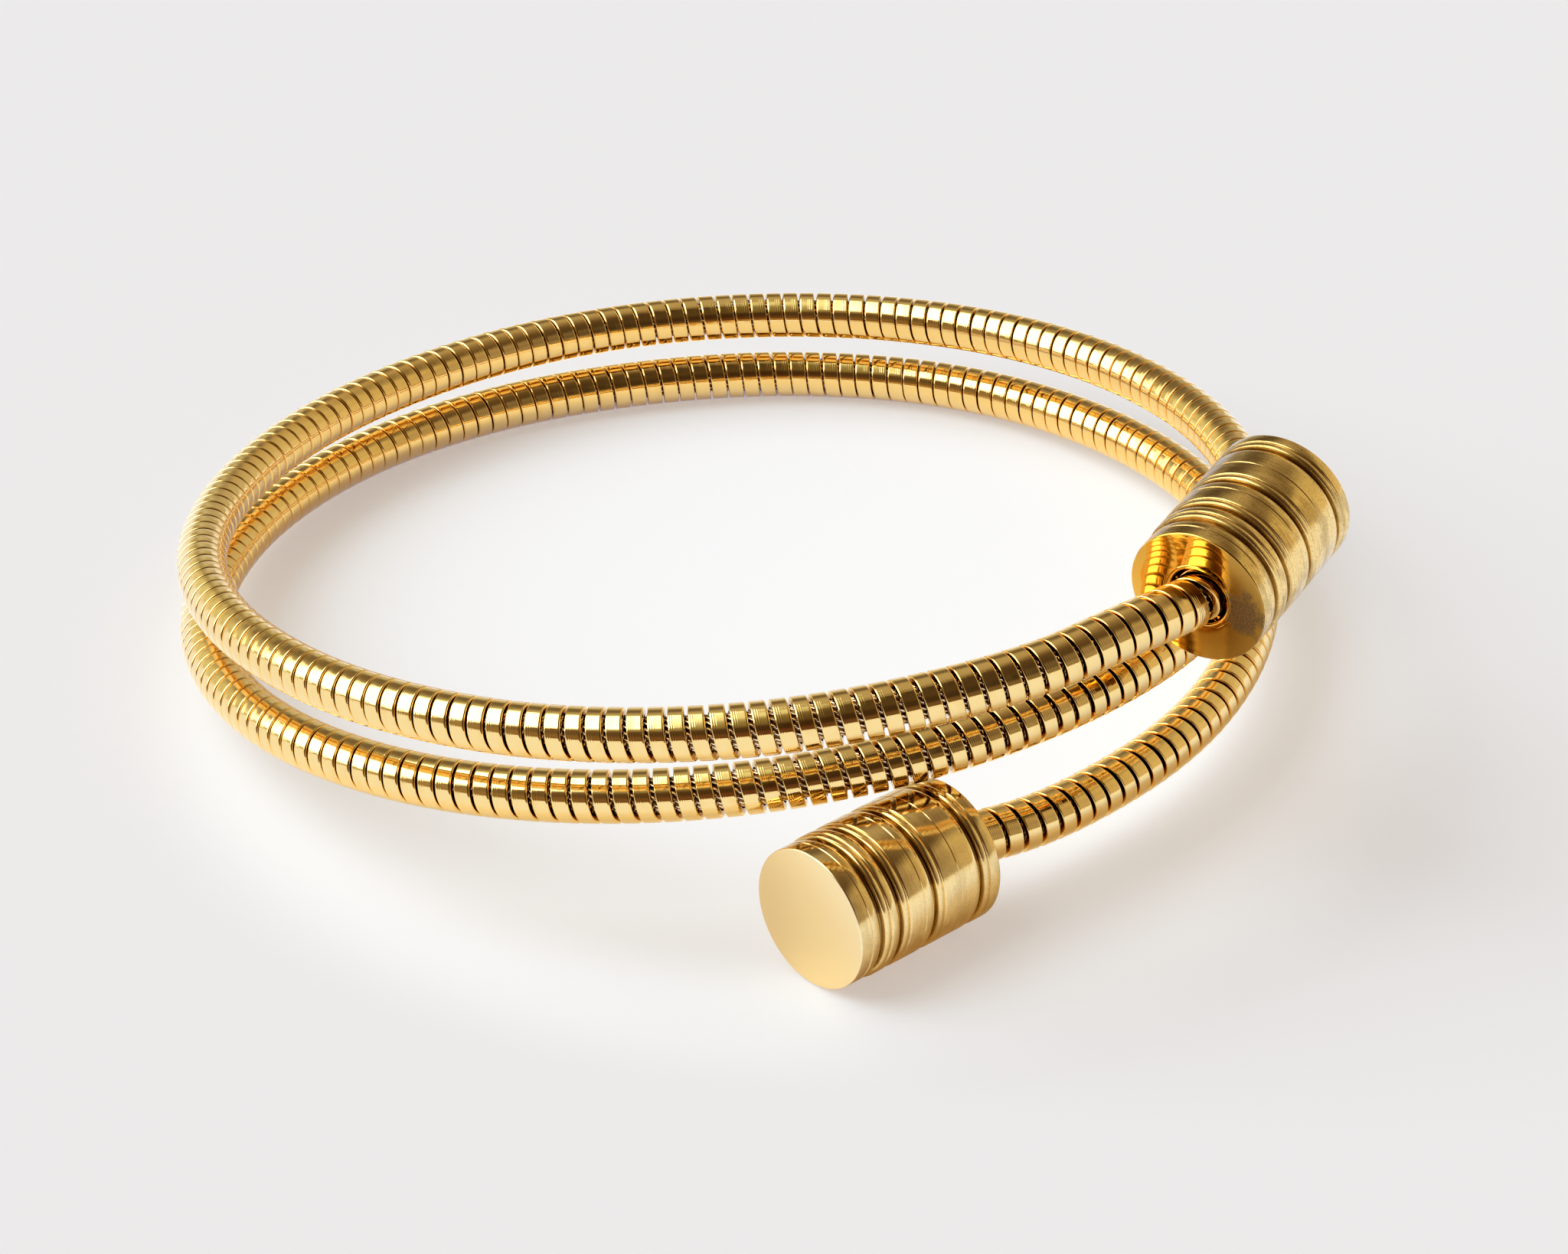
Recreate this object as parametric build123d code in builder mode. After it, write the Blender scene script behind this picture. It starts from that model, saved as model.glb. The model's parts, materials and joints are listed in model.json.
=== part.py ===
"""A double-wrap bangle: about two turns of ribbon-wound flexible hose with a turned cap on each end.

The hose is a flat metal ribbon wound into a hollow tube, round a stranded core. It coils
anticlockwise and upwards from the lower cap, which lies on the surface. Its first turn lies on
the surface at the back and passes over the lower cap at the front. Its second turn lies over the
first at the back and ends in the upper cap, on the right.

Millimetres, +Z up, +X to the right and +Y away from the viewer. The origin is the middle of the
bangle's outline, on the surface that it lies on.
"""
import os
from math import cos, pi, radians, sin, tan

from build123d import *

# Hose
wrist_diameter = 60.0
ribbon_diameter = 3.0
ribbon_thickness = 0.4
core_gap = 0.1

# Caps and their stepped bores
cap_diameter = 8.4
cap_length = 10.4
face_bevel = 0.1
bore_gap = 0.25
bore_bevel = 0.2
core_bore_gap = 0.15
end_gap = 0.3
ribbon_seat = 4.0
core_tail = 2.0

# Turned detail round the caps
groove_width = 0.5
groove_depth = 0.32
band_fall = 0.1
bead_width = 0.24
bead_height = 0.04
line_width = 0.08
line_depth = 0.06

# Where the grooves and the fine lines lie, as shares of the cap's length, from the plain face on
# the lower cap and from the bored face on the upper one
groove_places = (0.159, 0.293, 0.548, 0.880)
line_places = (0.082, 0.457, 0.716)

# How far the hose runs straight out of a cap, and the share of the shorter run that a bend takes
straight_out = 0.6
bend_share = 0.45

ribbon_radius = ribbon_diameter / 2
core_radius = ribbon_radius - ribbon_thickness - core_gap
bore_radius = ribbon_radius + bore_gap
cap_radius = cap_diameter / 2
coil_radius = (wrist_diameter + ribbon_diameter) / 2

# The coil's stations, from the lower cap to the upper one, evenly spaced round the wrist.
# reach is a share of coil_radius. The height of the hose's middle is so many cap radii and so
# many ribbon radii, because each turn lies on the surface, on a cap or on the turn below.
first_angle = -56.0
station_step = 39.5
#                  reach  caps  ribbons
coil_stations = [(1.032, 0.88, 0.04),
                 (1.006, 0.80, 0.21),
                 (1.017, 0.46, 0.55),
                 (1.018, 0.04, 0.99),
                 (0.948, 0.00, 1.03),
                 (0.979, 0.00, 1.05),
                 (1.017, 0.23, 1.04),
                 (1.047, 0.88, 1.07),
                 (1.039, 1.56, 1.07),
                 (1.027, 2.00, 1.34),
                 (0.993, 1.75, 1.63),
                 (0.999, 1.25, 2.07),
                 (1.011, 0.65, 2.48),
                 (1.005, 0.15, 2.98),
                 (0.969, 0.18, 3.18),
                 (0.999, 0.50, 3.31),
                 (1.067, 1.28, 3.52),
                 (1.135, 1.95, 3.68),
                 (1.160, 2.60, 3.71)]

# The hose's last corner before the upper cap, and the mouths of the caps: angle round the wrist,
# reach and height as above, then how far a cap's axis swings inwards from the coil's own
# direction there, and how far it tips up.
#                 angle  reach  caps  ribbons  swing  tip
lower_mouth = (-68.9, 1.066, 1.00, 0.00, 21.5, 0.0)
upper_mouth = (-45.2, 1.160, 2.78, 3.61, 13.3, 7.4)
upper_approach = (-53.5, 1.167, 2.76, 3.78)


def place(angle, reach, caps, ribbons):
    """Point at an angle round the wrist, a reach from its middle and a height."""
    out = coil_radius * reach
    height = caps * cap_radius + ribbons * ribbon_radius
    return Vector(out * cos(radians(angle)), out * sin(radians(angle)), height)


def heading(angle, swing, tip):
    """Unit vector along a cap, the way that the coil climbs."""
    turn = radians(angle + 90 + swing)
    return Vector(cos(turn) * cos(radians(tip)), sin(turn) * cos(radians(tip)), sin(radians(tip)))


def halfway(before, start, end, after):
    """Smooth value halfway from start to end, led by the stations on either side."""
    return (9 * (start + end) - before - after) / 16


def coil_corners():
    """Corners of the coil, one at each station and one halfway to the next.

    They stand outside the coil, so that the bends rounded inside them have its radius.
    """
    ahead = [2 * a - b for a, b in zip(coil_stations[0], coil_stations[1])]
    beyond = [2 * a - b for a, b in zip(coil_stations[-1], coil_stations[-2])]
    rows = [ahead, *coil_stations, beyond]
    stand_off = 1 / cos(radians(station_step / 4))
    corners = []
    for i in range(1, len(rows) - 1):
        angle = first_angle + (i - 1) * station_step
        reach, caps, ribbons = rows[i]
        corners.append(place(angle, reach * stand_off, caps, ribbons))
        if i < len(rows) - 2:
            reach, caps, ribbons = [halfway(*four) for four in zip(*rows[i - 1:i + 3])]
            corners.append(place(angle + station_step / 2, reach * stand_off, caps, ribbons))
    return corners


lower_bore = place(*lower_mouth[:4])
upper_bore = place(*upper_mouth[:4])
lower_heading = heading(lower_mouth[0], *lower_mouth[4:])
upper_heading = heading(upper_mouth[0], *upper_mouth[4:])


def hose_route(seat):
    """Corners of the hose, with its ends seated so deep in the caps."""
    return [lower_bore - lower_heading * seat,
            lower_bore + lower_heading * straight_out,
            *coil_corners(),
            place(*upper_approach),
            upper_bore - upper_heading * straight_out,
            upper_bore + upper_heading * seat]


def bend_radii(route):
    """Radius of the bend at each corner, as large as its two runs allow."""
    radii = []
    for before, corner, after in zip(route, route[1:], route[2:]):
        run_in = corner - before
        run_out = after - corner
        half_turn = radians(run_in.get_angle(run_out)) / 2
        radii.append(bend_share * min(run_in.length, run_out.length) / tan(half_turn))
    return radii


ribbon_route = hose_route(ribbon_seat)
core_route = hose_route(ribbon_seat + core_tail)
hose_bends = bend_radii(ribbon_route)
print("bend radii, mm:", ", ".join(f"{radius:.1f}" for radius in hose_bends))

# Ribbon, wound into a hollow hose
with BuildPart() as wound_ribbon:
    with BuildLine() as ribbon_line:
        FilletPolyline(*ribbon_route, radius=hose_bends)
    with BuildSketch(Plane(ribbon_route[0], z_dir=lower_heading)) as ribbon_section:
        Circle(ribbon_radius)
        Circle(ribbon_radius - ribbon_thickness, mode=Mode.SUBTRACT)
    sweep(path=ribbon_line.line)
wound_ribbon.part.label = "wound_ribbon"

# Stranded core, which runs on past the ribbon into the narrow ends of the bores
with BuildPart() as core_cable:
    with BuildLine() as core_line:
        FilletPolyline(*core_route, radius=hose_bends)
    with BuildSketch(Plane(core_route[0], z_dir=lower_heading)) as core_section:
        Circle(core_radius)
    sweep(path=core_line.line)
core_cable.part.label = "core_cable"

for tube, line, section in ((wound_ribbon, ribbon_line, ribbon_section), (core_cable, core_line, core_section)):
    length = line.wire().length
    print(f"{tube.part.label}: length {length:.1f} mm, volume {tube.part.volume:.1f} mm3,",
          f"section x length {section.sketch.area * length:.1f} mm3")


def turned_side():
    """Draw the turned side of a cap from one face to the other, and close it along the axis."""
    band_radius = cap_radius - bead_height
    places = [(share * cap_length, False) for share in line_places]
    places += [(share * cap_length, True) for share in groove_places]
    here = (band_radius, face_bevel)
    Polyline((0, 0), (band_radius - face_bevel, 0), here)
    for middle, is_groove in sorted(places):
        if is_groove:
            # The band falls gently to a round groove, and a small bead stands at its far edge
            low = middle - groove_width / 2
            high = middle + groove_width / 2
            lip = (band_radius - band_fall, low)
            Line(here, lip)
            ThreePointArc(lip, (cap_radius - groove_depth, middle), (band_radius, high))
            bead_top = (cap_radius, high + bead_width / 2)
            here = (band_radius, high + bead_width)
            ThreePointArc((band_radius, high), bead_top, here)
            middle = here[1] + line_width
        start = (band_radius, middle - line_width / 2)
        Line(here, start)
        here = (band_radius, middle + line_width / 2)
        Polyline(start, (band_radius - line_depth, middle), here)
    rim = (band_radius, cap_length - face_bevel)
    Polyline(here, rim, (band_radius - face_bevel, cap_length), (0, cap_length), (0, 0))


def end_cap(base, along, mouth, outwards):
    """Cap turned about the line along from its base, and bored at its mouth for the hose."""
    across = along.cross(Vector(0, 0, 1)).normalized()
    with BuildPart() as cap:
        with BuildSketch(Plane(base, x_dir=across, z_dir=across.cross(along))):
            with BuildLine():
                turned_side()
            make_face()
        revolve(axis=Axis(base, along))
        with Locations(Plane(mouth, z_dir=outwards)):
            CounterBoreHole(radius=core_radius + core_bore_gap,
                            counter_bore_radius=bore_radius,
                            counter_bore_depth=ribbon_seat + end_gap,
                            depth=ribbon_seat + core_tail + 2 * end_gap)
        face = cap.faces().filter_by(GeomType.PLANE).sort_by_distance(mouth)[0]
        chamfer(face.edges().sort_by(SortBy.RADIUS)[0], bore_bevel)
    return cap


lower_end_cap = end_cap(lower_bore - lower_heading * cap_length, lower_heading, lower_bore, lower_heading)
lower_end_cap.part.label = "lower_end_cap"
upper_end_cap = end_cap(upper_bore, upper_heading, upper_bore, -upper_heading)
upper_end_cap.part.label = "upper_end_cap"

# The bangle is set down with the middle of its outline over the origin
pieces = [wound_ribbon.part, core_cable.part, lower_end_cap.part, upper_end_cap.part]
boxes = [piece.bounding_box() for piece in pieces]
middle_x = (min(box.min.X for box in boxes) + max(box.max.X for box in boxes)) / 2
middle_y = (min(box.min.Y for box in boxes) + max(box.max.Y for box in boxes)) / 2
lowest = min(box.min.Z for box in boxes)
print(f"middle of the wrist at {-middle_x:.4f}, {-middle_y:.4f}, lifted {-lowest:.4f}")

os.makedirs("parts", exist_ok=True)
for piece in pieces:
    placed = piece.moved(Location((-middle_x, -middle_y, -lowest)))
    placed.label = piece.label
    export_step(placed, f"parts/{piece.label}.step")
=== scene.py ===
"""Finish of a double-wrap bangle: wound ribbon, stranded core and two turned caps, in polished gold.

Metres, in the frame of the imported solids: +Z up, +X to the right and +Y away from the viewer.
The hose coils anticlockwise and upwards, from the lower cap to the upper one.
"""
import json
from math import cos, pi, radians, sin

import bmesh
import bpy
import numpy as np
from mathutils import Matrix, Vector


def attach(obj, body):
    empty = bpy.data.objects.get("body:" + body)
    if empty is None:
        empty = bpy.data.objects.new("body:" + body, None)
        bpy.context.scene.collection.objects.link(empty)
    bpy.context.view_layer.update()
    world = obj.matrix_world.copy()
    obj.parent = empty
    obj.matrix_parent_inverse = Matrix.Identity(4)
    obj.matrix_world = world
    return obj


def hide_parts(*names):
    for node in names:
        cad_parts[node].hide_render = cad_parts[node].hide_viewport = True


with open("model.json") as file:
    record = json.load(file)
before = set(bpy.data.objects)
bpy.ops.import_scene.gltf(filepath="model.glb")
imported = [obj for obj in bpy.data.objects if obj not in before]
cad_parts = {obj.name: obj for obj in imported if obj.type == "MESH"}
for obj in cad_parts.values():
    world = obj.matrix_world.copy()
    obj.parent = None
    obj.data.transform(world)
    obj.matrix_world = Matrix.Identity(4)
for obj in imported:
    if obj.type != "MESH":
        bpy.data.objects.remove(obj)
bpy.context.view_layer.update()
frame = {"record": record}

mm = 0.001
world_up = Vector((0, 0, 1))

# Hose, as in the solids
wrist_diameter = 60.0 * mm
ribbon_diameter = 3.0 * mm
ribbon_thickness = 0.4 * mm
core_gap = 0.1 * mm
straight_out = 0.6 * mm
ribbon_seat = 4.0 * mm
core_tail = 2.0 * mm

# Caps and their stepped bores, as in the solids
cap_diameter = 8.4 * mm
cap_length = 10.4 * mm
bore_gap = 0.25 * mm
core_bore_gap = 0.15 * mm
end_gap = 0.3 * mm

# Ribbon: its width, the rounding of its near and far edges, where its flat outer side lies between
# them, and how finely they are all wound
ribbon_width = 0.97 * mm
near_edge = 0.06 * mm
far_edge = 0.12 * mm
flat_from = 1.3 * near_edge
flat_to = 1.15 * far_edge
near_edge_steps = 2
far_edge_steps = 5
steps_per_turn = 60
ribbon_pieces = 4

# The ribbon is wound straight before it is laid along the hose, its turns so many widths apart
straight_spacing = 1.3

# The turns lie a little unevenly, by two waves along the hose: their heights in shares of a turn,
# and how many radians they move on at each turn
quick_wander = 0.012
quick_rate = 1.9
quick_phase = 0.8
slow_wander = 0.010
slow_rate = 0.77

# Core: strands in its outer layer, how deep the valleys between them are, their lay, and the form
# round one strand from valley to valley, as shares of the valley's depth
strand_count = 16
strand_valley = 0.20 * mm
strand_lay = 12.5 * mm
strand_form = (1, 0.25, 0, 0.25)
steps_per_half_lay = 15

# Steps of the hose's middle line from one corner to the next
steps_per_corner = 40

# Points this close are joined, where copies meet in a row and where a full turn closes
joining_gap = 0.002 * mm

# Angles over which an edge stays sharp
ribbon_sharp = 50
cap_sharp = 40

ribbon_radius = ribbon_diameter / 2
core_radius = ribbon_radius - ribbon_thickness - core_gap
bore_radius = ribbon_radius + bore_gap
cap_radius = cap_diameter / 2
coil_radius = (wrist_diameter + ribbon_diameter) / 2

# The coil's stations, from the lower cap to the upper one, evenly spaced round the wrist.
# reach is a share of coil_radius. The height of the hose's middle is so many cap radii and so
# many ribbon radii.
first_angle = -56.0
station_step = 39.5
#                  reach  caps  ribbons
coil_stations = [(1.032, 0.88, 0.04),
                 (1.006, 0.80, 0.21),
                 (1.017, 0.46, 0.55),
                 (1.018, 0.04, 0.99),
                 (0.948, 0.00, 1.03),
                 (0.979, 0.00, 1.05),
                 (1.017, 0.23, 1.04),
                 (1.047, 0.88, 1.07),
                 (1.039, 1.56, 1.07),
                 (1.027, 2.00, 1.34),
                 (0.993, 1.75, 1.63),
                 (0.999, 1.25, 2.07),
                 (1.011, 0.65, 2.48),
                 (1.005, 0.15, 2.98),
                 (0.969, 0.18, 3.18),
                 (0.999, 0.50, 3.31),
                 (1.067, 1.28, 3.52),
                 (1.135, 1.95, 3.68),
                 (1.160, 2.60, 3.71)]

# The mouths of the caps: angle round the wrist, reach and height as above, then how far the cap's
# axis swings inwards from the coil's own direction there, and how far it tips up. The approach is
# the hose's last corner before the upper one.
#                 angle  reach  caps  ribbons  swing  tip
lower_mouth = (-68.9, 1.066, 1.00, 0.00, 21.5, 0.0)
upper_mouth = (-45.2, 1.160, 2.78, 3.61, 13.3, 7.4)
upper_approach = (-53.5, 1.167, 2.76, 3.78)

# Distance from one turn of the ribbon to the next along the hose, at shares of its length
#                share  distance
turn_spacings = ((0.00, 1.20 * mm),
                 (0.06, 1.19 * mm),
                 (0.12, 1.12 * mm),
                 (0.25, 1.13 * mm),
                 (0.40, 1.13 * mm),
                 (0.60, 1.12 * mm),
                 (0.75, 1.15 * mm),
                 (0.85, 1.12 * mm),
                 (0.9875, 1.10 * mm),
                 (0.9890, 1.42 * mm),
                 (0.9905, 1.42 * mm),
                 (0.9920, 1.10 * mm),
                 (1.00, 1.10 * mm))

# How wide the ribbon shows, as a share of ribbon_width: the groove beside it opens at the front
#               share  width
turn_widths = ((0.00, 1.00),
               (0.05, 1.01),
               (0.10, 1.02),
               (0.41, 1.02),
               (0.45, 0.91),
               (0.49, 0.92),
               (0.53, 1.02),
               (0.88, 1.02),
               (0.92, 0.91),
               (0.94, 0.92),
               (0.97, 0.99),
               (1.00, 0.99))


# Shader nodes

class Wire:
    """One output of a node. Sums on it add the nodes that work them out."""

    def __init__(self, tree, socket=None):
        self.tree = tree
        self.socket = socket

    def node(self, kind, settings=None, sockets=None, out=0):
        """Output of a new node, with its settings made first and then its sockets filled or linked."""
        made = self.tree.nodes.new(kind)
        for name, value in (settings or {}).items():
            if name == "stops":
                ramp = made.color_ramp
                while len(ramp.elements) < len(value):
                    ramp.elements.new(0.5)
                for element, (position, rgba) in zip(ramp.elements, value):
                    element.position = position
                    element.color = rgba
            else:
                setattr(made, name, value)
        for name, value in (sockets or {}).items():
            if isinstance(value, Wire):
                self.tree.links.new(value.socket, made.inputs[name])
            else:
                made.inputs[name].default_value = value
        return Wire(self.tree, made.outputs[out])

    def maths(self, operation, *others):
        values = dict(enumerate((self, *others)))
        return self.node("ShaderNodeMath", {"operation": operation}, values)

    def __add__(self, other):
        return self.maths("ADD", other)

    __radd__ = __add__

    def __sub__(self, other):
        return self.maths("SUBTRACT", other)

    def __rsub__(self, other):
        return (self * -1) + other

    def __mul__(self, other):
        return self.maths("MULTIPLY", other)

    __rmul__ = __mul__

    def __truediv__(self, other):
        return self.maths("DIVIDE", other)

    def ramp(self, low, high):
        """0 below low and 1 above high, eased between, or the other way round where low is larger."""
        return self.node("ShaderNodeMapRange", {"interpolation_type": "SMOOTHSTEP"},
                         {"Value": self, "From Min": low, "From Max": high})

    def part(self, axis):
        """One of the three numbers of a vector."""
        return self.node("ShaderNodeSeparateXYZ", None, {0: self}, out=axis)

    def vectors(self, operation, *others, out=0):
        """Sum on vectors. One that gives a number has it at the output Value."""
        values = dict(enumerate((self, *others)))
        return self.node("ShaderNodeVectorMath", {"operation": operation}, values, out)

    def along(self, direction):
        """How far the vector reaches in a fixed direction."""
        return self.vectors("DOT_PRODUCT", direction, out="Value")

    def stretched(self, scales):
        return self.vectors("MULTIPLY", scales)

    def noise(self, scale, detail=2.0, roughness=0.5):
        """Noise from 0 to 1 on this vector."""
        return self.node("ShaderNodeTexNoise", None,
                         {"Vector": self, "Scale": scale, "Detail": detail, "Roughness": roughness})

    def blended(self, other, share):
        """This colour turned into another by a share."""
        return self.node("ShaderNodeMix", {"data_type": "RGBA"}, {0: share, 6: self, 7: other}, out=2)


def new_material(name):
    """Empty material, with its shader and the wire that starts its sums."""
    material = bpy.data.materials.new(name)
    material.use_nodes = True
    tree = material.node_tree
    shader = tree.nodes["Principled BSDF"]
    return material, shader, Wire(tree)


def plug(wire, node, name):
    wire.tree.links.new(wire.socket, node.inputs[name])


def colour(wires, rgb):
    """Fixed colour as a wire."""
    made = wires.node("ShaderNodeRGB")
    made.socket.default_value = (*rgb, 1)
    return made


def kept(wires, name, out="Vector"):
    """What the mesh keeps at each vertex under a name."""
    return wires.node("ShaderNodeAttribute", {"attribute_name": name}, out=out)


def emboss(height, shader):
    """Fine relief from a height in millimetres."""
    bump = height.node("ShaderNodeBump", None, {"Height": height, "Strength": 1.0, "Distance": mm})
    plug(bump, shader, "Normal")


# Colours of the metal and its tarnish, of the shade and highlights painted on it, of the floor seen
# directly and in reflections, and of the light that comes through it
gold_pale = (1.0, 0.71, 0.27)
gold_warm = (0.98, 0.66, 0.22)
gold_lower = (1.0, 0.73, 0.31)
gold_upper = (1.0, 0.71, 0.27)
# Paler gold of a cap's plain face, a painted highlight
face_highlight_gold = (1.0, 0.80, 0.44)
gold_orange = (0.94, 0.54, 0.10)
# Core strands: pale cream painted on their crests as a highlight, and dark painted in their valleys as
# shade and where grime lies
strand_crest_highlight = (1.0, 0.80, 0.52)
strand_shade_and_grime = (0.17, 0.08, 0.022)
# Brown painted shade down in the ribbon's grooves
groove_shade_brown = (0.42, 0.22, 0.06)
# Olive of the caps' tarnish, also painted as shade on their upper inner side
tarnish_and_shade_olive = (0.46, 0.29, 0.085)
# Brown of the caps' tarnish, also painted as shade in their grooves and on their upper inner side
tarnish_and_shade_brown = (0.17, 0.085, 0.022)
tarnish_bronze = (0.37, 0.19, 0.035)
tarnish_grey = (0.11, 0.070, 0.040)
paper_near = (0.475, 0.565, 0.67)
paper_far = (0.42, 0.495, 0.585)
paper_mirrored = (0.80, 0.88, 0.95)
glow_near = (0.485, 0.430, 0.405)
glow_far = (0.428, 0.368, 0.345)
glow_mirrored_near = (0.17, 0.09, 0.03)
glow_mirrored_far = (0.17, 0.20, 0.42)

# The floor's white part: how far it reaches round a point a little in front of the bangle's middle
white_middle = Vector((3, -4, 0)) * mm
white_reach = (0.031, 0.041)

# Patterns, as cells of noise to a millimetre: on the ribbon across it, along it and into it, and on
# a cap inwards, up and along its axis. The grime on the core is in cells to a metre.
streak_cells = (26.0, 0.35, 0)
ribbon_patch_cells = (1.2, 0.5, 0)
turning_cells = (0.22, 0.22, 9.0)
cap_patch_cells = (0.5, 0.5, 0.9)
grain_cells = 14.0
cloud_cells = 1.3
grime_cells = 900.0

# Fine relief, as heights in millimetres: the ridges drawn along the ribbon, with their spacing and
# how far off its middle they begin, its streaks, and the turning marks, grain and tarnish of the caps
ridge_spacing = 0.125
ridge_side = (-0.02, -0.10)
ridge_height = 0.0015
streak_height = 0.0014
turning_height = 0.0022
grain_height = 0.0020
bronze_height = 0.0018
bloom_height = 0.005

# Roughness of clean gold, and what marks and tarnish add to it
ribbon_rough = 0.03
streak_rough = 0.06
valley_rough = 0.30
strand_polish = 0.14
cap_rough = 0.05
face_rough = 0.16
bronze_rough = 0.07
bloom_rough = 0.30

# Painted shade down in the grooves: its share, and on the ribbon the depths between which it sets in
ribbon_groove_shade = 0.85
ribbon_groove_shade_depth = (0.10, 0.20)
cap_groove_shade = 0.65

# A cap's side is painted darker inwards and up as shade, from so many millimetres off its axis to so
# many. Shares of olive and brown: as tarnish in patches and in the grain's speckle, and as painted
# shade on that darker part.
top_shade_way = (0.85, 0.53, 0.0)
top_shade_reach = (1.4, 3.9)
olive_in_patches = 0.7
olive_in_speckle = 0.25
olive_top_shade = 0.4
brown_in_speckle = 0.6
brown_top_shade = 0.55

# Tarnish on the bored face of the upper cap, in its own millimetres: how far outwards and down the
# bronze part begins and is full, how far inwards the lower part of it ends, and the middle of the
# bloom, inwards, up and along, with its squash and where it ends and is full
bronze_outer = (1.5, 2.1)
bronze_lower = (1.2, 2.0)
bronze_lower_end = (1.8, 0.6)
bronze_lower_share = 0.5
bronze_ragged = 0.7
bloom_place = (-2.9, -0.3, 0.0)
bloom_squash = (1.0, 0.8, 1.0)
bloom_reach = (1.45, 0.75)
bloom_ragged = 2.2


def ribbon_gold():
    """Polished ribbon, with fine drawn ridges on its nearer side and brown painted shade down in the
    grooves.
    """
    material, shader, wires = new_material("ribbon_gold")
    where = kept(wires, "ribbon_place")
    off = where.part("X")
    depth = where.part("Z")
    streaks = where.stretched(streak_cells).noise(1.0, 3.0)
    patches = where.stretched(ribbon_patch_cells).noise(1.0, 3.0)
    tone = colour(wires, gold_pale).blended(colour(wires, gold_warm), patches.ramp(0.45, 0.8))
    # Painted shade: the ribbon turns brown below a depth in its grooves
    tone = tone.blended(colour(wires, groove_shade_brown), ribbon_groove_shade * depth.ramp(*ribbon_groove_shade_depth))
    plug(tone, shader, "Base Color")
    plug(ribbon_rough + streak_rough * streaks.ramp(0.45, 0.8), shader, "Roughness")
    shader.inputs["Metallic"].default_value = 1.0
    ridges = (off * (2 * pi / ridge_spacing)).maths("SINE") * ridge_height * off.ramp(*ridge_side)
    emboss(ridges + streak_height * streaks, shader)
    return material


def core_gold():
    """Drawn wire of the core: painted pale on the strands' crests as a highlight, painted dark in the
    valleys between them as shade, and dark with grime in patches.
    """
    material, shader, wires = new_material("core_gold")
    rise = kept(wires, "strand_rise", out="Fac")
    grime = wires.node("ShaderNodeTexCoord", out="Object").noise(grime_cells)
    # Painted highlight on the crests and painted shade in the valleys, dulled by grime in patches
    bright = rise.ramp(0.45, 0.85) * grime.ramp(0.15, 0.45)
    plug(colour(wires, strand_shade_and_grime).blended(colour(wires, strand_crest_highlight), bright), shader, "Base Color")
    plug(valley_rough - strand_polish * bright, shader, "Roughness")
    shader.inputs["Metallic"].default_value = 1.0
    return material


def cap_gold(name, base, tarnish, wear):
    """Turned cap: fine turned lines, olive and brown tarnish on its side, painted shade on its upper
    inner part and down in its grooves, and a plain face painted paler as a highlight.

    Its tarnish share sets the tarnish on its side and the painted shade on its upper inner part, and
    wear the roughness that its side adds.
    """
    material, shader, wires = new_material(name)
    where = kept(wires, "cap_place")
    surface = kept(wires, "cap_surface")
    on_side, depth, on_face = [surface.part(axis) for axis in "XYZ"]
    bored = (1 - on_side) * (1 - on_face)
    turned = where.stretched(turning_cells).noise(1.0, 4.0, 0.6)
    patches = where.stretched(cap_patch_cells).noise(1.0, 3.0, 0.6)
    grain = where.noise(grain_cells, 2.0, 0.7)
    speckle = grain.ramp(0.50, 0.72)
    # Painted shade: the side grows darker inwards and up
    top_shade = where.along(top_shade_way).ramp(*top_shade_reach)
    clouded = (patches + 0.5 * turned - 0.25).ramp(0.42, 0.60)
    olive = olive_in_patches * clouded + olive_in_speckle * speckle + olive_top_shade * top_shade
    brown = brown_in_speckle * speckle + brown_top_shade * top_shade
    bronze, bloom = tarnish_on_bored_face(where, grain)
    tone = colour(wires, base)
    for finish, share in ((gold_warm, turned.ramp(0.4, 0.7) * 0.4),
                          (tarnish_and_shade_olive, on_side * olive * tarnish),
                          (tarnish_and_shade_brown, on_side * brown * tarnish),
                          # Painted shade down in the grooves
                          (tarnish_and_shade_brown, cap_groove_shade * depth),
                          # The plain face painted paler, as a highlight
                          (face_highlight_gold, on_face),
                          (gold_orange, bored),
                          (tarnish_bronze, bored * bronze * (0.8 + 0.2 * speckle)),
                          (tarnish_grey, bored * bloom)):
        tone = tone.blended(colour(wires, finish), share)
    plug(tone, shader, "Base Color")
    worn = on_side * (wear + 0.5 * wear * patches.ramp(0.35, 0.65) + 0.5 * wear * grain)
    tarnished = bored * (bronze_rough * bronze + bloom_rough * bloom)
    plug(cap_rough + worn + face_rough * on_face + tarnished, shader, "Roughness")
    shader.inputs["Metallic"].default_value = 1.0
    height = on_side * (turning_height * turned + grain_height * grain) + grain_height * grain * on_face
    emboss(height + bored * (bronze_height * bronze + bloom_height * bloom) * grain, shader)
    return material


def tarnish_on_bored_face(where, grain):
    """Shares of the bronze tarnish on a bored face's outer and lower parts, and of its grey bloom."""
    inwards = where.part("X")
    up = where.part("Y")
    cloud = where.noise(cloud_cells, 3.0, 0.6)
    ragged = bronze_ragged * (cloud - 0.5)
    outer = (ragged - inwards).ramp(*bronze_outer)
    lower = (ragged - up).ramp(*bronze_lower) * inwards.ramp(*bronze_lower_end) * bronze_lower_share
    bronze = 1 - (1 - outer) * (1 - lower)
    away = where.vectors("SUBTRACT", bloom_place).stretched(bloom_squash)
    distance = away.vectors("LENGTH", out="Value") + bloom_ragged * (cloud - 0.5)
    bloom = distance.ramp(*bloom_reach) * (0.35 + 0.65 * grain.ramp(0.42, 0.58))
    return bronze, bloom


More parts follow.
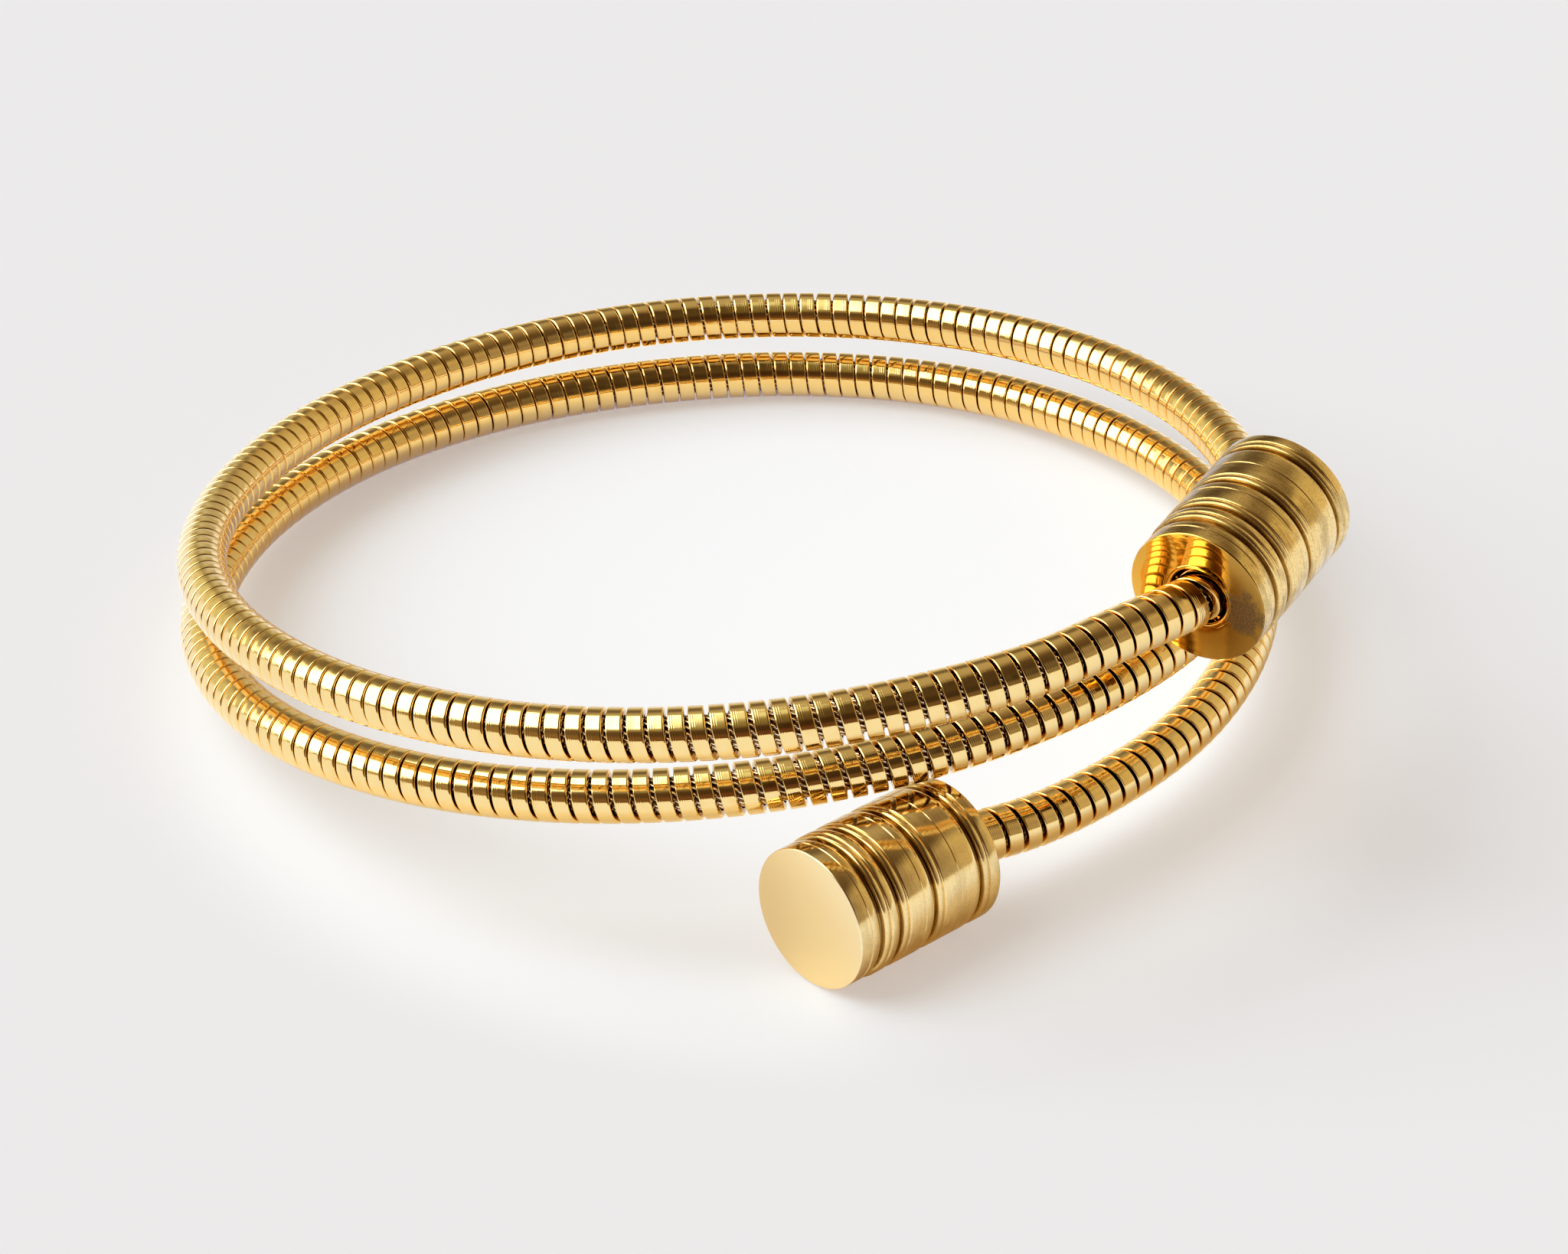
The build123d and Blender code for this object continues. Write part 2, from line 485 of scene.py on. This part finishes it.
def paper_white():
    """Pale plain floor, softly lit through, white round the bangle and faintly grey further out.

    In reflections it is lighter, with a warm tint round the bangle's middle.
    """
    material, shader, wires = new_material("paper_white")
    spot = wires.node("ShaderNodeTexCoord", out="Object")
    far = spot.vectors("DISTANCE", white_middle, out="Value").ramp(*white_reach)
    direct = wires.node("ShaderNodeLightPath", out="Is Camera Ray")

    def shaded(near_tone, far_tone):
        return colour(wires, near_tone).blended(colour(wires, far_tone), far)

    paper = colour(wires, paper_mirrored).blended(shaded(paper_near, paper_far), direct)
    glow = shaded(glow_mirrored_near, glow_mirrored_far).blended(shaded(glow_near, glow_far), direct)
    matt = wires.node("ShaderNodeBsdfDiffuse", None, {"Color": paper})
    lit_through = wires.node("ShaderNodeEmission", None, {"Color": glow})
    both = wires.node("ShaderNodeAddShader", None, {0: matt, 1: lit_through})
    plug(both, material.node_tree.nodes["Material Output"], "Surface")
    material.node_tree.nodes.remove(shader)
    return material


# Shapes

def piece_from(name, mesh, material, node):
    """Finished piece of the object, which rides on its body and stands for a solid."""
    piece = bpy.data.objects.new(name, mesh)
    bpy.context.scene.collection.objects.link(piece)
    piece.data.materials.append(material)
    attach(piece, "root")
    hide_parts(node)
    return piece


def vertex_places(mesh):
    places = np.empty(len(mesh.vertices) * 3)
    mesh.vertices.foreach_get("co", places)
    return places.reshape(-1, 3)


def set_places(mesh, places):
    mesh.vertices.foreach_set("co", places.ravel())
    mesh.update()


def keep_places(mesh, name, rows):
    """Stores a vector at each vertex, for the mesh's material to read."""
    attribute = mesh.attributes.new(name, "FLOAT_VECTOR", "POINT")
    attribute.data.foreach_set("vector", np.ascontiguousarray(rows, np.float32).ravel())


def repeated(bm, name, spacing, count):
    """Mesh of so many copies along Z, joined where they meet and closed at both ends."""
    mesh = bpy.data.meshes.new(name)
    bm.to_mesh(mesh)
    bm.free()
    holder = bpy.data.objects.new(name, mesh)
    bpy.context.scene.collection.objects.link(holder)
    row = holder.modifiers.new("row", "ARRAY")
    row.count = count
    row.use_relative_offset = False
    row.use_constant_offset = True
    row.constant_offset_displace = (0, 0, spacing)
    row.use_merge_vertices = True
    row.merge_threshold = joining_gap
    evaluated = holder.evaluated_get(bpy.context.evaluated_depsgraph_get())
    joined = bpy.data.meshes.new_from_object(evaluated)
    bpy.data.objects.remove(holder)
    bpy.data.meshes.remove(mesh)
    joined.name = name
    closed = bmesh.new()
    closed.from_mesh(joined)
    rims = [edge for edge in closed.edges if edge.is_boundary]
    bmesh.ops.holes_fill(closed, edges=rims)
    bmesh.ops.recalc_face_normals(closed, faces=closed.faces)
    closed.to_mesh(joined)
    closed.free()
    return joined


def smoothed(mesh, angle):
    """Shades a mesh smooth, apart from edges sharper than an angle."""
    mesh.shade_smooth()
    mesh.set_sharp_from_angle(angle=radians(angle))


# Route of the hose

def place(angle, reach, caps, ribbons):
    """Point at an angle round the wrist, a reach from its middle and a height."""
    out = coil_radius * reach
    height = caps * cap_radius + ribbons * ribbon_radius
    return Vector((out * cos(radians(angle)), out * sin(radians(angle)), height))


def heading(angle, swing, tip):
    """Unit vector along a cap, the way that the coil climbs."""
    turn = radians(angle + 90 + swing)
    return Vector((cos(turn) * cos(radians(tip)), sin(turn) * cos(radians(tip)), sin(radians(tip))))


def halfway(before, start, end, after):
    """Smooth value halfway from start to end, led by the stations on either side."""
    return (9 * (start + end) - before - after) / 16


def coil_corners():
    """Corners of the coil, one at each station and one halfway to the next."""
    ahead = [2 * a - b for a, b in zip(coil_stations[0], coil_stations[1])]
    beyond = [2 * a - b for a, b in zip(coil_stations[-1], coil_stations[-2])]
    rows = [ahead, *coil_stations, beyond]
    stand_off = 1 / cos(radians(station_step / 4))
    corners = []
    for i in range(1, len(rows) - 1):
        angle = first_angle + (i - 1) * station_step
        reach, caps, ribbons = rows[i]
        corners.append(place(angle, reach * stand_off, caps, ribbons))
        if i < len(rows) - 2:
            reach, caps, ribbons = [halfway(*four) for four in zip(*rows[i - 1:i + 3])]
            corners.append(place(angle + station_step / 2, reach * stand_off, caps, ribbons))
    return corners


lower_bore = place(*lower_mouth[:4])
upper_bore = place(*upper_mouth[:4])
lower_heading = heading(lower_mouth[0], *lower_mouth[4:])
upper_heading = heading(upper_mouth[0], *upper_mouth[4:])

# The solids stand on the middle of their outline, which the record's mount on the lower cap gives
lower_face = next(mount for mount in frame["record"]["mounts"] if mount["name"] == "lower_cap_face")
shift = Vector(lower_face["pos_m"]) - (lower_bore - lower_heading * cap_length)


def hose_route(seat):
    """Corners of the hose, with its ends seated so deep in the caps."""
    corners = [lower_bore - lower_heading * seat,
               lower_bore - lower_heading * straight_out,
               lower_bore + lower_heading * straight_out,
               *coil_corners(),
               place(*upper_approach),
               upper_bore - upper_heading * straight_out,
               upper_bore + upper_heading * straight_out,
               upper_bore + upper_heading * seat]
    return [corner + shift for corner in corners]


class HoseLine:
    """Smooth line along the middle of the hose, with the ways along it, inwards and up."""

    def __init__(self, corners):
        curve = bpy.data.curves.new("hose_line", "CURVE")
        curve.dimensions = "3D"
        spline = curve.splines.new("NURBS")
        spline.points.add(len(corners) - 1)
        for point, corner in zip(spline.points, corners):
            point.co = (*corner, 1)
        spline.order_u = 3
        spline.use_endpoint_u = True
        spline.resolution_u = steps_per_corner
        holder = bpy.data.objects.new("hose_line", curve)
        drawn = bpy.data.meshes.new_from_object(holder)
        points = vertex_places(drawn)
        bpy.data.objects.remove(holder)
        bpy.data.meshes.remove(drawn)
        bpy.data.curves.remove(curve)
        self.runs = np.concatenate(([0], np.cumsum(np.linalg.norm(np.diff(points, axis=0), axis=1))))
        self.length = self.runs[-1]
        along = np.gradient(points, self.runs, axis=0)
        along /= np.linalg.norm(along, axis=1)[:, None]
        inwards = np.cross(np.array(world_up), along)
        inwards /= np.linalg.norm(inwards, axis=1)[:, None]
        self.tracks = (points, inwards, np.cross(along, inwards), along)

    def laid(self, runs, across, off):
        """Places so far along the line, and from there so far inwards and up, and off along it."""
        steps = [1, across[:, 0], across[:, 1], off]
        total = 0
        for track, step in zip(self.tracks, steps):
            here = np.column_stack([np.interp(runs, self.runs, column) for column in track.T])
            total = total + here * np.reshape(step, (-1, 1))
        return total


hose = HoseLine(hose_route(ribbon_seat))
core_line = HoseLine(hose_route(ribbon_seat + core_tail))

# Turns of the ribbon that fit on the hose, counted along it
shares, spacings = zip(*turn_spacings)
spacing_there = np.interp(hose.runs / hose.length, shares, spacings)
steps_between = np.diff(hose.runs) * 2 / (spacing_there[1:] + spacing_there[:-1])
turns_there = np.concatenate(([0], np.cumsum(steps_between)))
turn_count = int(turns_there[-1]) - 1
print("hose length", round(hose.length / mm, 1), "mm, turns", turn_count)


def ribbon_turns(name, first, count):
    """So many turns of the ribbon, wound straight and then laid along the hose."""
    spacing = ribbon_width * straight_spacing
    half = ribbon_width / 2
    inner = ribbon_radius - ribbon_thickness
    bm = bmesh.new()
    corners = [bm.verts.new((r, 0, z)) for r, z in ((ribbon_radius, -half), (ribbon_radius, half),
                                                   (inner, half), (inner, -half))]
    section = bm.faces.new(corners)
    bmesh.ops.subdivide_edges(bm, edges=[section.edges[0]], cuts=2)
    outer = sorted((vert for vert in bm.verts if vert.co.x > ribbon_radius - far_edge / 2),
                   key=lambda vert: vert.co.z)
    near, flat_start, flat_end, far = outer
    flat_start.co.z = -half + flat_from
    flat_end.co.z = half - flat_to
    for corner, rounding, steps in ((near, near_edge, near_edge_steps),
                                    (far, far_edge, far_edge_steps)):
        bmesh.ops.bevel(bm, geom=[corner], offset=rounding, affect="VERTICES", segments=steps,
                        profile=0.5, material=-1)
    bmesh.ops.delete(bm, geom=bm.faces[:], context="FACES_ONLY")
    bmesh.ops.spin(bm, geom=bm.verts[:] + bm.edges[:], cent=(0, 0, 0), axis=(0, 0, 1),
                   dvec=(0, 0, spacing / steps_per_turn), angle=2 * pi, steps=steps_per_turn,
                   use_merge=False)
    mesh = repeated(bm, name, spacing, count)
    straight = vertex_places(mesh)
    angle_share = np.arctan2(straight[:, 1], straight[:, 0]) / (2 * pi)
    turn = np.round(straight[:, 2] / spacing - angle_share) + angle_share
    off = straight[:, 2] - turn * spacing
    wander = quick_wander * np.sin(quick_rate * turn + quick_phase)
    wander += slow_wander * np.sin(slow_rate * (turn + first))
    runs = np.interp(first + turn + wander, turns_there, hose.runs)
    off *= np.interp(runs / hose.length, *zip(*turn_widths))
    set_places(mesh, hose.laid(runs, straight[:, :2], off))
    around = (first + turn) * 2 * pi * ribbon_radius
    depth = ribbon_radius - np.hypot(straight[:, 0], straight[:, 1])
    keep_places(mesh, "ribbon_place", np.column_stack((off, around, depth)) / mm)
    smoothed(mesh, ribbon_sharp)
    return mesh


def strand_core(name):
    """Core of twisted strands, laid along the hose."""
    half_lay = strand_lay / 2
    points = len(strand_form)
    bm = bmesh.new()
    made = bmesh.ops.create_circle(bm, cap_ends=False, radius=core_radius,
                                   segments=strand_count * points)
    for i, vert in enumerate(made["verts"]):
        vert.co *= 1 - strand_valley * strand_form[i % points] / core_radius
    bmesh.ops.spin(bm, geom=bm.verts[:] + bm.edges[:], cent=(0, 0, 0), axis=(0, 0, 1),
                   dvec=(0, 0, half_lay / steps_per_half_lay), angle=pi, steps=steps_per_half_lay,
                   use_merge=False)
    count = int(core_line.length / half_lay)
    mesh = repeated(bm, name, half_lay, count)
    straight = vertex_places(mesh)
    rise = (np.hypot(straight[:, 0], straight[:, 1]) - core_radius) / strand_valley + 1
    attribute = mesh.attributes.new("strand_rise", "FLOAT", "POINT")
    attribute.data.foreach_set("value", np.clip(rise, 0, 1).astype(np.float32))
    runs = straight[:, 2] * core_line.length / (half_lay * count)
    set_places(mesh, core_line.laid(runs, straight[:, :2], 0 * runs))
    mesh.shade_smooth()
    return mesh


# Turned detail of a cap, in millimetres from its end nearer the viewer: where each groove is
# deepest, and the fine lines scribed between them
groove_middles = (1.66, 3.05, 5.66, 9.12)
scribe_places = (0.85, 4.75, 7.45)
groove_depth = 0.36
face_edge = 0.09
face_edge_steps = 4
first_band_drop = 0.08
cap_steps = 160

# The band falls to a groove over this distance, ever more steeply by this power, and its outline
# has points at these shares of the way
band_fall = 0.62
band_curve = 2.6
band_shares = (0, 0.2, 0.4, 0.55, 0.7, 0.8, 0.9, 1)

# Beyond a groove's middle, as distances from it and depths below the full radius: the rise out of
# the groove, a broad round bead, and a line which the next band follows
groove_rise = ((0.05, 0.35), (0.08, 0.20))
bead_middle = (0.31, 0.13)
bead_size = (0.22, 0.13)
bead_sweep = (180, 12)
bead_steps = 10
bead_line = ((0.545, 0.10), (0.57, 0.05), (0.61, 0.01), (0.66, 0.0))

# Outline of a scribed line, as distances from its middle and depths
scribe_form = ((-0.05, 0.0), (-0.012, 0.045), (0.012, 0.045), (0.05, 0.0))

# Bored face, as depths from it: a fine line round it at these radii, and the rounded rim of the
# bore, as radii more than the bore's
face_line = ((0, 2.12), (0.03, 2.09), (0.03, 2.03), (0, 2.0))
bore_rim = ((0, 0.16), (0.03, 0.08), (0.1, 0.02), (0.16, 0))

# Painted shade in a cap's grooves begins so far below the full radius, and is full over such a depth.
# What is no more than a margin deeper than the grooves counts as the cap's side, which fades in there.
groove_shade_start = 0.07
groove_shade_depth = 0.24
side_margin = 0.05
side_fade = 0.02


def arc_points(middle, start, end, size, steps):
    """Points on an arc about a middle, from one angle to another in degrees."""
    points = []
    for i in range(steps + 1):
        angle = radians(start + (end - start) * i / steps)
        points.append((middle[0] + size[0] * cos(angle), middle[1] + size[1] * sin(angle)))
    return points


def cap_side():
    """Outline of a cap's side, as distance from its near end and radius, both in millimetres."""
    full = cap_radius / mm
    here = full - first_band_drop
    far_end = cap_length / mm
    corner = (face_edge, face_edge)
    points = arc_points((face_edge, here - face_edge), 180, 90, corner, face_edge_steps)
    marks = sorted([(s, "groove") for s in groove_middles] + [(s, "scribe") for s in scribe_places])
    for middle, kind in marks:
        if kind == "scribe":
            points += [(middle + s, here - drop) for s, drop in scribe_form]
            continue
        fall = here - (full - groove_depth)
        points += [(middle + band_fall * (share - 1), here - fall * share ** band_curve)
                   for share in band_shares]
        points += [(middle + s, full - drop) for s, drop in groove_rise]
        bead = (middle + bead_middle[0], full - bead_middle[1])
        points += arc_points(bead, *bead_sweep, bead_size, bead_steps)
        points += [(middle + s, full - drop) for s, drop in bead_line]
        here = full
    points += arc_points((far_end - face_edge, full - face_edge), 90, 0, corner, face_edge_steps)
    return points


def bore_outline():
    """Outline of a cap's bored end, from its face inwards to the bottom of the narrow bore."""
    bore = bore_radius / mm
    narrow = (core_radius + core_bore_gap) / mm
    wide_depth = (ribbon_seat + end_gap) / mm
    depth = (ribbon_seat + core_tail + 2 * end_gap) / mm
    rim = [(s, bore + more) for s, more in bore_rim]
    return [*face_line, *rim, (wide_depth, bore), (wide_depth, narrow), (depth, narrow), (depth, 0)]


def cap_surface(places, bored_first):
    """How far each vertex is on the side, deep in a groove, and on the plain face, from 0 to 1."""
    radius = np.hypot(places[:, 0], places[:, 1])
    from_near_end = places[:, 2]
    full = cap_radius / mm
    length = cap_length / mm
    off_edges = np.minimum(from_near_end, length - from_near_end) >= face_edge
    on_side = np.clip((radius - full + groove_depth + side_margin) / side_fade, 0, 1) * off_edges
    # How deep in a groove, which sets the share of painted shade there
    depth = np.clip((full - groove_shade_start - radius) / groove_shade_depth, 0, 1) * on_side
    on_face = (abs(from_near_end - length * bored_first) < face_edge) * 1.0
    return np.column_stack((on_side, depth, on_face))


def turned_cap(name, bored_first):
    """Cap turned about Z from its near end at the origin, and bored at that end or at the far one."""
    side = cap_side()
    length = cap_length / mm
    if bored_first:
        outline = bore_outline()[::-1] + side + [(length, 0)]
    else:
        outline = [(0, 0)] + side + [(length - s, r) for s, r in bore_outline()]
    bm = bmesh.new()
    ring = [bm.verts.new((r * mm, 0, s * mm)) for s, r in outline]
    for a, b in zip(ring, ring[1:]):
        bm.edges.new((a, b))
    bmesh.ops.spin(bm, geom=bm.verts[:] + bm.edges[:], cent=(0, 0, 0), axis=(0, 0, 1), dvec=(0, 0, 0),
                   angle=2 * pi, steps=cap_steps, use_merge=True)
    bmesh.ops.remove_doubles(bm, verts=bm.verts, dist=joining_gap)
    bmesh.ops.recalc_face_normals(bm, faces=bm.faces)
    mesh = bpy.data.meshes.new(name)
    bm.to_mesh(mesh)
    bm.free()
    places = vertex_places(mesh) / mm
    keep_places(mesh, "cap_place", places)
    keep_places(mesh, "cap_surface", cap_surface(places, bored_first))
    smoothed(mesh, cap_sharp)
    return mesh


def stand_cap(mesh, base, along):
    """Turns a cap's mesh from Z to its heading and moves its near end to the base."""
    inwards = world_up.cross(along).normalized()
    turned = Matrix((inwards, along.cross(inwards), along)).transposed().to_4x4()
    mesh.transform(Matrix.Translation(base + shift) @ turned)


# Light

# The studio as seen from the bangle: rings of brightness at three heights, each turned from the
# camera's side (-180) by the left (-90), the back (0) and the right (90) to the camera's side
# again. A large white softbox stands on the left, the camera's side is dark and the room is warm.
#           azimuth  red, green, blue
low_ring = ((-180, (0.13, 0.045, 0.020)),
            (-147, (0.21, 0.125, 0.058)),
            (-127, (0.30, 0.205, 0.10)),
            (-112, (0.36, 0.28, 0.17)),
            (-84, (0.45, 0.41, 0.28)),
            (-60, (0.64, 0.62, 0.44)),
            (-40, (0.74, 0.72, 0.48)),
            (-25, (0.76, 0.71, 0.45)),
            (-16, (0.40, 0.35, 0.20)),
            (-8, (0.60, 0.57, 0.41)),
            (4, (0.48, 0.43, 0.31)),
            (30, (0.55, 0.50, 0.38)),
            (62, (0.76, 0.66, 0.46)),
            (92, (0.68, 0.55, 0.32)),
            (106, (0.45, 0.38, 0.26)),
            (145, (0.17, 0.115, 0.06)),
            (180, (0.13, 0.045, 0.020)))
middle_ring = ((-180, (0.050, 0.024, 0.010)),
               (-150, (0.11, 0.068, 0.034)),
               (-128, (0.18, 0.12, 0.066)),
               (-100, (0.50, 0.43, 0.31)),
               (-50, (0.46, 0.42, 0.30)),
               (-34, (0.22, 0.17, 0.11)),
               (-16, (0.18, 0.14, 0.095)),
               (0, (0.19, 0.145, 0.10)),
               (14, (0.48, 0.38, 0.22)),
               (45, (0.62, 0.53, 0.33)),
               (88, (0.62, 0.51, 0.28)),
               (104, (0.42, 0.33, 0.22)),
               (142, (0.060, 0.040, 0.022)),
               (180, (0.050, 0.024, 0.010)))
high_ring = ((-180, (0.10, 0.065, 0.03)),
             (-158, (0.30, 0.25, 0.12)),
             (-120, (0.85, 0.90, 0.70)),
             (-50, (0.85, 0.90, 0.70)),
             (-22, (0.48, 0.44, 0.32)),
             (8, (0.46, 0.39, 0.26)),
             (40, (0.28, 0.21, 0.13)),
             (90, (0.13, 0.085, 0.045)),
             (135, (0.07, 0.046, 0.026)),
             (180, (0.10, 0.065, 0.03)))
paper_glow = (0.95, 0.95, 0.95)
ceiling_glow = (0.34, 0.29, 0.18)

# Heights in degrees between which one ring turns into the next
paper_to_low = (2.5, 4)
low_to_middle = (14, 26)
middle_to_high = (36, 52)
high_to_ceiling = (82, 89)

# The softbox: where its middle stands, its brightness, and its edges as slopes off its middle. Its
# sides lean outwards and its top fades. The slopes come round again behind, where it is kept out.
box_azimuth = -78.0
box_height = 42.0
box_white = (3.9, 3.85, 3.7)
box_left = (-0.74, -0.54)
box_right = (0.47, 0.27)
box_lean = 0.2
box_bottom = (-0.72, -0.62)
box_top = (0.74, 0.42)
box_ahead = (0.2, 0.3)


def light_studio():
    """World of the three rings, with a pale glow below them, the ceiling above and the softbox."""
    world = bpy.data.worlds.new("studio")
    bpy.context.scene.world = world
    world.use_nodes = True
    world.cycles.sampling_method = "MANUAL"
    world.cycles.sample_map_resolution = 128
    tree = world.node_tree
    wires = Wire(tree)
    look = wires.node("ShaderNodeTexCoord", out="Generated")
    rise = look.part("Z")
    turn = look.part("X").maths("ARCTAN2", look.part("Y")) / (2 * pi) + 0.5

    def ring(stops):
        places = [(azimuth / 360 + 0.5, (*rgb, 1)) for azimuth, rgb in stops]
        return wires.node("ShaderNodeValToRGB", {"stops": places}, {0: turn})

    def height(degrees):
        return rise.ramp(*[sin(radians(angle)) for angle in degrees])

    turned = radians(box_azimuth)
    lift = radians(box_height)
    ahead = Vector((sin(turned) * cos(lift), cos(turned) * cos(lift), sin(lift)))
    right = ahead.cross(world_up).normalized()
    depth = look.along(ahead)
    over = look.along(right) / depth
    up = look.along(right.cross(ahead)) / depth
    box = (over + up * box_lean).ramp(*box_left) * (over - up * box_lean).ramp(*box_right)
    box = box * up.ramp(*box_bottom) * up.ramp(*box_top) * depth.ramp(*box_ahead)

    light = ring(low_ring).blended(ring(middle_ring), height(low_to_middle))
    light = light.blended(ring(high_ring), height(middle_to_high))
    light = light.blended(colour(wires, ceiling_glow), height(high_to_ceiling))
    light = colour(wires, paper_glow).blended(light, height(paper_to_low))
    plug(light.blended(colour(wires, box_white), box), tree.nodes["Background"], "Color")


# Half the floor's width, in metres
floor_reach = 2.0


def lay_floor():
    bm = bmesh.new()
    bmesh.ops.create_grid(bm, x_segments=8, y_segments=8, size=floor_reach)
    mesh = bpy.data.meshes.new("floor")
    bm.to_mesh(mesh)
    bm.free()
    floor = bpy.data.objects.new("floor", mesh)
    bpy.context.scene.collection.objects.link(floor)
    floor.data.materials.append(paper_white())


# Camera, found from the photograph: where it looks on the floor, how far away and how high it is,
# its lens and sensor in millimetres, and the nearest that it sees, in metres
camera_target = Vector((2.5127, 3.8616, 0.0)) * mm
camera_distance = 284.294 * mm
camera_elevation = 30.554
camera_lens = 105.994
camera_sensor = 36.0
camera_clip = 0.01


def place_camera():
    data = bpy.data.cameras.new("camera")
    data.sensor_width = camera_sensor
    data.lens = camera_lens
    data.clip_start = camera_clip
    camera = bpy.data.objects.new("camera", data)
    bpy.context.scene.collection.objects.link(camera)
    lift = radians(camera_elevation)
    camera.location = camera_target + camera_distance * Vector((0, -cos(lift), sin(lift)))
    camera.rotation_euler = (pi / 2 - lift, 0, 0)
    bpy.context.scene.camera = camera


place_camera()
light_studio()
lay_floor()
bpy.context.scene.view_settings.view_transform = "Standard"

ribbon_finish = ribbon_gold()
ends = [round(turn_count * i / ribbon_pieces) for i in range(ribbon_pieces + 1)]
for i, (first, last) in enumerate(zip(ends, ends[1:])):
    name = f"ribbon_stretch_{i + 1}"
    stretch = ribbon_turns(name, first, last - first)
    piece_from(name, stretch, ribbon_finish, "wound_ribbon")
piece_from("core_strands", strand_core("core_strands"), core_gold(), "core_cable")

lower_cap = turned_cap("lower_cap_turned", bored_first=False)
stand_cap(lower_cap, lower_bore - lower_heading * cap_length, lower_heading)
lower_finish = cap_gold("lower_cap_gold", gold_lower, tarnish=0.35, wear=0.035)
piece_from("lower_cap_turned", lower_cap, lower_finish, "lower_end_cap")
upper_cap = turned_cap("upper_cap_turned", bored_first=True)
stand_cap(upper_cap, upper_bore, upper_heading)
upper_finish = cap_gold("upper_cap_gold", gold_upper, tarnish=0.80, wear=0.09)
piece_from("upper_cap_turned", upper_cap, upper_finish, "upper_end_cap")
